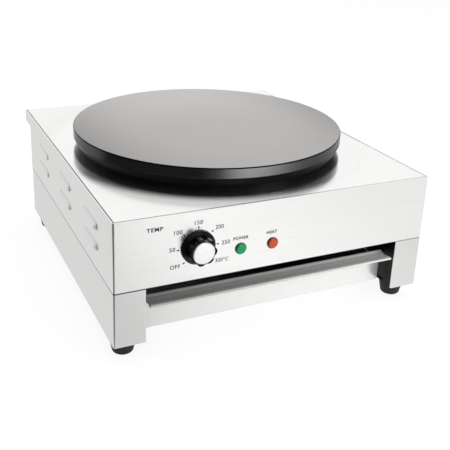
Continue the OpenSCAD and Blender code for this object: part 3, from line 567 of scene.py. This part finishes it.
def printWord(text, across, up, height, width, bold):
    curve = bpy.data.curves.new("word", "FONT")
    curve.body = text
    curve.align_x, curve.align_y = "CENTER", "CENTER"
    curve.size = height / printing["capital"]
    curve.extrude = printing["thick"] / 2
    curve.offset = bold
    curve.space_character = printing["spacing"]
    holder = newObject("wordHolder", curve)
    bpy.context.view_layer.update()
    data = bpy.data.meshes.new_from_object(holder.evaluated_get(bpy.context.evaluated_depsgraph_get()))
    bpy.data.objects.remove(holder)
    low = [min(vertex.co[axis] for vertex in data.vertices) for axis in (0, 1)]
    high = [max(vertex.co[axis] for vertex in data.vertices) for axis in (0, 1)]
    middle = Matrix.Translation((-(low[0] + high[0]) / 2, -(low[1] + high[1]) / 2, 0))
    fit = Matrix.Diagonal((width / (high[0] - low[0]), height / (high[1] - low[1]), 1, 1))
    stand = Matrix.Rotation(math.radians(90), 4, "X")
    place = Matrix.Translation(dialPlace() + Vector((across, 0, up)) * mm)
    data.transform(place @ Matrix.Scale(mm, 4) @ stand @ fit @ middle)
    data.materials.clear()
    data.materials.append(inkMaterial)
    return data


def joinMeshes(name, meshes):
    joined = bmesh.new()
    for data in meshes:
        joined.from_mesh(data)
    bmesh.ops.remove_doubles(joined, verts=joined.verts, dist=printing["merge"] * mm)
    result = bpy.data.meshes.new(name)
    joined.to_mesh(result)
    joined.free()
    result.materials.append(meshes[0].materials[0])
    return newObject(name, result)


lettering = joinMeshes("printed_words", [printWord(*word) for word in printing["words"]])
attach(lettering, "housing")
print("words printed:", len(printing["words"]))


def startTree(name, inputs):
    tree = bpy.data.node_groups.new(name, "GeometryNodeTree")
    tree.interface.new_socket("Geometry", in_out="INPUT", socket_type="NodeSocketGeometry")
    for socket, kind in inputs.items():
        tree.interface.new_socket(socket, in_out="INPUT", socket_type="NodeSocket" + kind)
    tree.interface.new_socket("Geometry", in_out="OUTPUT", socket_type="NodeSocketGeometry")
    return tree, tree.nodes.new("NodeGroupInput").outputs, tree.nodes.new("NodeGroupOutput")


def endTree(tree, geometry, material, output):
    real = addNode(tree, "GeometryNodeRealizeInstances", (geometry,))
    painted = addNode(tree, "GeometryNodeSetMaterial", {"Geometry": real, "Material": material})
    setInputs(tree, output, (painted,))


def growMesh(name, source, tree, values):
    modifier = source.modifiers.new("shape", "NODES")
    modifier.node_group = tree
    for item in tree.interface.items_tree:
        if item.item_type == "SOCKET" and item.in_out == "INPUT" and item.name in values:
            modifier[item.identifier] = values[item.name]
    bpy.context.view_layer.update()
    data = bpy.data.meshes.new_from_object(source.evaluated_get(bpy.context.evaluated_depsgraph_get()))
    source.modifiers.clear()
    bpy.data.objects.remove(source)
    return newObject(name, data)


# Bars on a circle round the dial's centre, each pointing outwards
def tickTree():
    tree, given, output = startTree("dialTicks", {
        "Count": "Int", "Radius": "Float", "From": "Float", "Step": "Float", "Size": "Vector",
        "Centre": "Vector", "Ink": "Material"})
    row = addNode(tree, "GeometryNodePoints", {"Count": given["Count"]})
    index = addNode(tree, "GeometryNodeInputIndex")
    angle = addNode(tree, "ShaderNodeMath", (index, given["Step"], given["From"]),
                    operation="MULTIPLY_ADD")
    cosine = addNode(tree, "ShaderNodeMath", (angle,), operation="COSINE")
    across = addNode(tree, "ShaderNodeMath", (cosine, given["Radius"]), operation="MULTIPLY")
    sine = addNode(tree, "ShaderNodeMath", (angle,), operation="SINE")
    up = addNode(tree, "ShaderNodeMath", (sine, given["Radius"]), operation="MULTIPLY")
    spot = addNode(tree, "ShaderNodeCombineXYZ", {"X": across, "Z": up})
    spot = addNode(tree, "ShaderNodeVectorMath", (spot, given["Centre"]), operation="ADD")
    placed = addNode(tree, "GeometryNodeSetPosition", {"Geometry": row, "Position": spot})
    bar = addNode(tree, "GeometryNodeMeshCube", {"Size": given["Size"]})
    back = addNode(tree, "ShaderNodeMath", (angle, -1.0), operation="MULTIPLY")
    turn = addNode(tree, "ShaderNodeCombineXYZ", {"Y": back})
    ticks = addNode(tree, "GeometryNodeInstanceOnPoints", {"Points": placed, "Instance": bar,
                                                           "Rotation": turn})
    endTree(tree, ticks, given["Ink"], output)
    return tree


def makeTicks():
    values = {
        "Count": printing["tickCount"], "Radius": printing["tickRadius"] * mm,
        "From": math.radians(printing["tickFrom"]), "Step": math.radians(printing["tickStep"]),
        "Size": [printing["tickLength"] * mm, printing["thick"] * mm, printing["tickWidth"] * mm],
        "Centre": list(dialPlace()),
        "Ink": inkMaterial,
    }
    holder = newObject("tickHolder", bpy.data.meshes.new("tickHolder"))
    ticks = growMesh("dial_ticks", holder, tickTree(), values)
    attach(ticks, "housing")


makeTicks()
print("ticks made")

studio = {
    "worldLight": 0.62,
    "floorHalf": 12.0,  # m
    "floor": "#F6F6F6",
    "floorWhite": 1.07,  # plain white that lifts the floor
    "floorShare": 0.82,  # its share, and the rest takes light and shadows
    "floorAcross": ((-0.24, 0.74), (0.04, 1.0), (0.48, 0.86)),  # m to the right, brightness in metal
    "roomAcross": ((-0.5, 0.55), (0.16, 0.97), (0.58, 0.97), (0.9, 0.5)),  # the same by direction
    "dark": 0.11,  # the unlit part of the room, to the left in front
    "darkTowards": (-0.927, -0.375),
    "darkCosines": (0.62, 0.78),  # of the angles from there at which it sets in and is full
    "darkHeight": (0.35, 0.75),  # share of a direction that points up, over which it ends
    "darkFloor": (0.46, 0.58),  # m from the middle where it sets in on the floor
    "darkRight": (0.94, 0.34),  # low down the room is unlit to the right too
    "darkRightCosines": (0.62, 0.82),
    "lampTowards": (0.42, -0.908),  # a wide low lamp in front, to the right
    "lampCosines": (0.755, 1.0),
    "lamp": 6.4,
    "lowHeight": (0.08, 0.16),  # where the lamp and the unlit right end
    "wedgeTip": 0.335,  # m from the middle along the left front corner's diagonal
    "wedgeBlunt": 0.02,  # m
    "wedgeSlopes": (0.45, 1.1),  # how far beyond the tip against how far aside: its soft edge
}


def pathFlag(tree, first, *others):
    path = addNode(tree, "ShaderNodeLightPath").outputs
    flag = path[first]
    for name in others:
        flag = addNode(tree, "ShaderNodeMath", (flag, path[name]), operation="MAXIMUM")
    return flag


# A vector's direction on the floor's plane
def levelDirection(tree, vector):
    flat = addNode(tree, "ShaderNodeVectorMath", (vector, (1, 1, 0)), operation="MULTIPLY")
    return addNode(tree, "ShaderNodeVectorMath", (flat,), operation="NORMALIZE")


# 0 to 1 as a vector on the floor's plane turns towards a direction, from one cosine to another
def sector(tree, vector, towards, cosines):
    unit = levelDirection(tree, vector)
    facing = addNode(tree, "ShaderNodeVectorMath", (unit, (*towards, 0)), operation="DOT_PRODUCT")
    return addNode(tree, "ShaderNodeMapRange", (facing, *cosines), interpolation_type="SMOOTHSTEP")


# The unlit part reaches close to the left front corner, in a wedge along its diagonal
def cornerShade(tree, place):
    diagonal = math.sqrt(0.5)
    total = addNode(tree, "ShaderNodeMath", (place["X"], place["Y"]), operation="ADD")
    beyond = addNode(tree, "ShaderNodeMath", (total, -diagonal, -studio["wedgeTip"]),
                     operation="MULTIPLY_ADD")
    apart = addNode(tree, "ShaderNodeMath", (place["X"], place["Y"]), operation="SUBTRACT")
    aside = addNode(tree, "ShaderNodeMath", (apart,), operation="ABSOLUTE")
    spread = addNode(tree, "ShaderNodeMath", (aside, diagonal, studio["wedgeBlunt"]),
                     operation="MULTIPLY_ADD")
    slope = addNode(tree, "ShaderNodeMath", (beyond, spread), operation="DIVIDE")
    return addNode(tree, "ShaderNodeMapRange", (slope, *studio["wedgeSlopes"]),
                   interpolation_type="SMOOTHSTEP")


# Brightness by how far to the right something lies, from -1 to 1, eased between the stops
def brightAcross(tree, across, stops):
    share = addNode(tree, "ShaderNodeMapRange", (across, -1.0, 1.0))
    ramp = addNode(tree, "ShaderNodeValToRGB", (share,))
    ramp.color_ramp.interpolation = "EASE"
    elements = ramp.color_ramp.elements
    places = [(place + 1) / 2 for place, level in stops]
    elements[0].position, elements[-1].position = places[0], places[-1]
    for place in places[1:-1]:
        elements.new(place)
    for element, (place, level) in zip(elements, stops):
        element.color = grey(level)
    return ramp


# Pale matt floor, nearly white to the eye, and unevenly lit where metal mirrors it
def floorMaterial():
    material, tree = newMaterial("paleFloor")[:2]
    tree.nodes.clear()
    vector = addNode(tree, "ShaderNodeTexCoord").outputs["Object"]
    place = addNode(tree, "ShaderNodeSeparateXYZ", (vector,)).outputs
    bright = brightAcross(tree, place["X"], studio["floorAcross"])
    away = addNode(tree, "ShaderNodeVectorMath", (vector,), operation="LENGTH")
    far = addNode(tree, "ShaderNodeMapRange", (away, *studio["darkFloor"]),
                  interpolation_type="SMOOTHSTEP")
    unlit = sector(tree, vector, studio["darkTowards"], studio["darkCosines"])
    dark = addNode(tree, "ShaderNodeMath", (far, unlit), operation="MULTIPLY")
    dark = addNode(tree, "ShaderNodeMath", (dark, cornerShade(tree, place)), operation="MAXIMUM")
    seen = addNode(tree, "ShaderNodeMix", {0: dark, 6: bright, 7: grey(studio["dark"])}, data_type="RGBA")
    plain = addNode(tree, "ShaderNodeBsdfDiffuse", {"Color": colour(studio["floor"])})
    white = addNode(tree, "ShaderNodeEmission", {"Strength": studio["floorWhite"]})
    shown = addNode(tree, "ShaderNodeMixShader", (studio["floorShare"], plain, white))
    mirror = addNode(tree, "ShaderNodeEmission", {"Color": seen, "Strength": 1.0})
    direct = addNode(tree, "ShaderNodeMixShader", (pathFlag(tree, "Is Camera Ray"), plain, shown))
    mirrored = pathFlag(tree, "Is Glossy Ray", "Is Transmission Ray")
    last = addNode(tree, "ShaderNodeMixShader", (mirrored, direct, mirror))
    addNode(tree, "ShaderNodeOutputMaterial", {"Surface": last})
    return material


def makeFloor():
    shape = bmesh.new()
    bmesh.ops.create_grid(shape, x_segments=1, y_segments=1, size=studio["floorHalf"])
    data = bpy.data.meshes.new("floor")
    shape.to_mesh(data)
    shape.free()
    floor = newObject("floor", data)
    data.materials.append(floorMaterial())


# What metal mirrors of the room: its brightness from left to right, the unlit parts and the low lamp
def roomSeen(tree):
    direction = addNode(tree, "ShaderNodeTexCoord").outputs["Generated"]
    height = addNode(tree, "ShaderNodeSeparateXYZ", (direction,)).outputs["Z"]
    low, lowest = (addNode(tree, "ShaderNodeMapRange", (height, *studio[end], 1.0, 0.0),
                           interpolation_type="SMOOTHSTEP") for end in ("darkHeight", "lowHeight"))
    left = sector(tree, direction, studio["darkTowards"], studio["darkCosines"])
    right = sector(tree, direction, studio["darkRight"], studio["darkRightCosines"])
    towardsLamp = sector(tree, direction, studio["lampTowards"], studio["lampCosines"])
    dark, darkRight, lamp = (addNode(tree, "ShaderNodeMath", pair, operation="MULTIPLY")
                             for pair in ((low, left), (lowest, right), (lowest, towardsLamp)))
    unlit = addNode(tree, "ShaderNodeMath", (dark, darkRight), operation="MAXIMUM")
    across = addNode(tree, "ShaderNodeSeparateXYZ", (levelDirection(tree, direction),)).outputs["X"]
    bright = brightAcross(tree, across, studio["roomAcross"])
    seen = addNode(tree, "ShaderNodeMix", {0: unlit, 6: bright, 7: grey(studio["dark"])}, data_type="RGBA")
    return addNode(tree, "ShaderNodeMix", {0: lamp, 6: seen, 7: grey(studio["lamp"])}, data_type="RGBA")


def makeWorld():
    world = bpy.data.worlds.new("studioWorld")
    scene.world = world
    world.use_nodes = True
    tree = world.node_tree
    tree.nodes.clear()
    light = addNode(tree, "ShaderNodeBackground", {"Color": grey(1.0), "Strength": studio["worldLight"]})
    mirror = addNode(tree, "ShaderNodeBackground", {"Color": roomSeen(tree), "Strength": 1.0})
    white = addNode(tree, "ShaderNodeBackground", {"Color": grey(1.0), "Strength": 1.0})
    mirrored = pathFlag(tree, "Is Glossy Ray", "Is Transmission Ray")
    first = addNode(tree, "ShaderNodeMixShader", (mirrored, light, mirror))
    last = addNode(tree, "ShaderNodeMixShader", (pathFlag(tree, "Is Camera Ray"), first, white))
    addNode(tree, "ShaderNodeOutputWorld", {"Surface": last})


# place, aim and size in m, power in W, and whether metal mirrors it
softboxes = {
    "overheadSoftbox": ((0.2, 0.2, 2.2), (0, 0, 0.1), (2.2, 1.8), 16, True),
    "frontSoftbox": ((1.2, -2.0, 1.3), (0, 0, 0.1), (1.2, 1.0), 10, True),
    "lowFill": ((0.9, -2.1, 0.5), (0.05, -0.25, 0.05), (1.0, 0.5), 7, False),  # reaches under the front
}


def hangSoftbox(name, place, aim, size, watts, mirrored):
    data = bpy.data.lights.new(name, "AREA")
    data.shape = "RECTANGLE"
    data.size, data.size_y = size
    data.energy = watts
    lamp = newObject(name, data)
    lamp.location = place
    lamp.rotation_mode = "QUATERNION"
    lamp.rotation_quaternion = (Vector(aim) - Vector(place)).to_track_quat("-Z", "Y")
    lamp.visible_glossy = mirrored


makeFloor()
makeWorld()
for name, settings in softboxes.items():
    hangSoftbox(name, *settings)
scene.view_settings.view_transform = "Standard"
print("stage set")
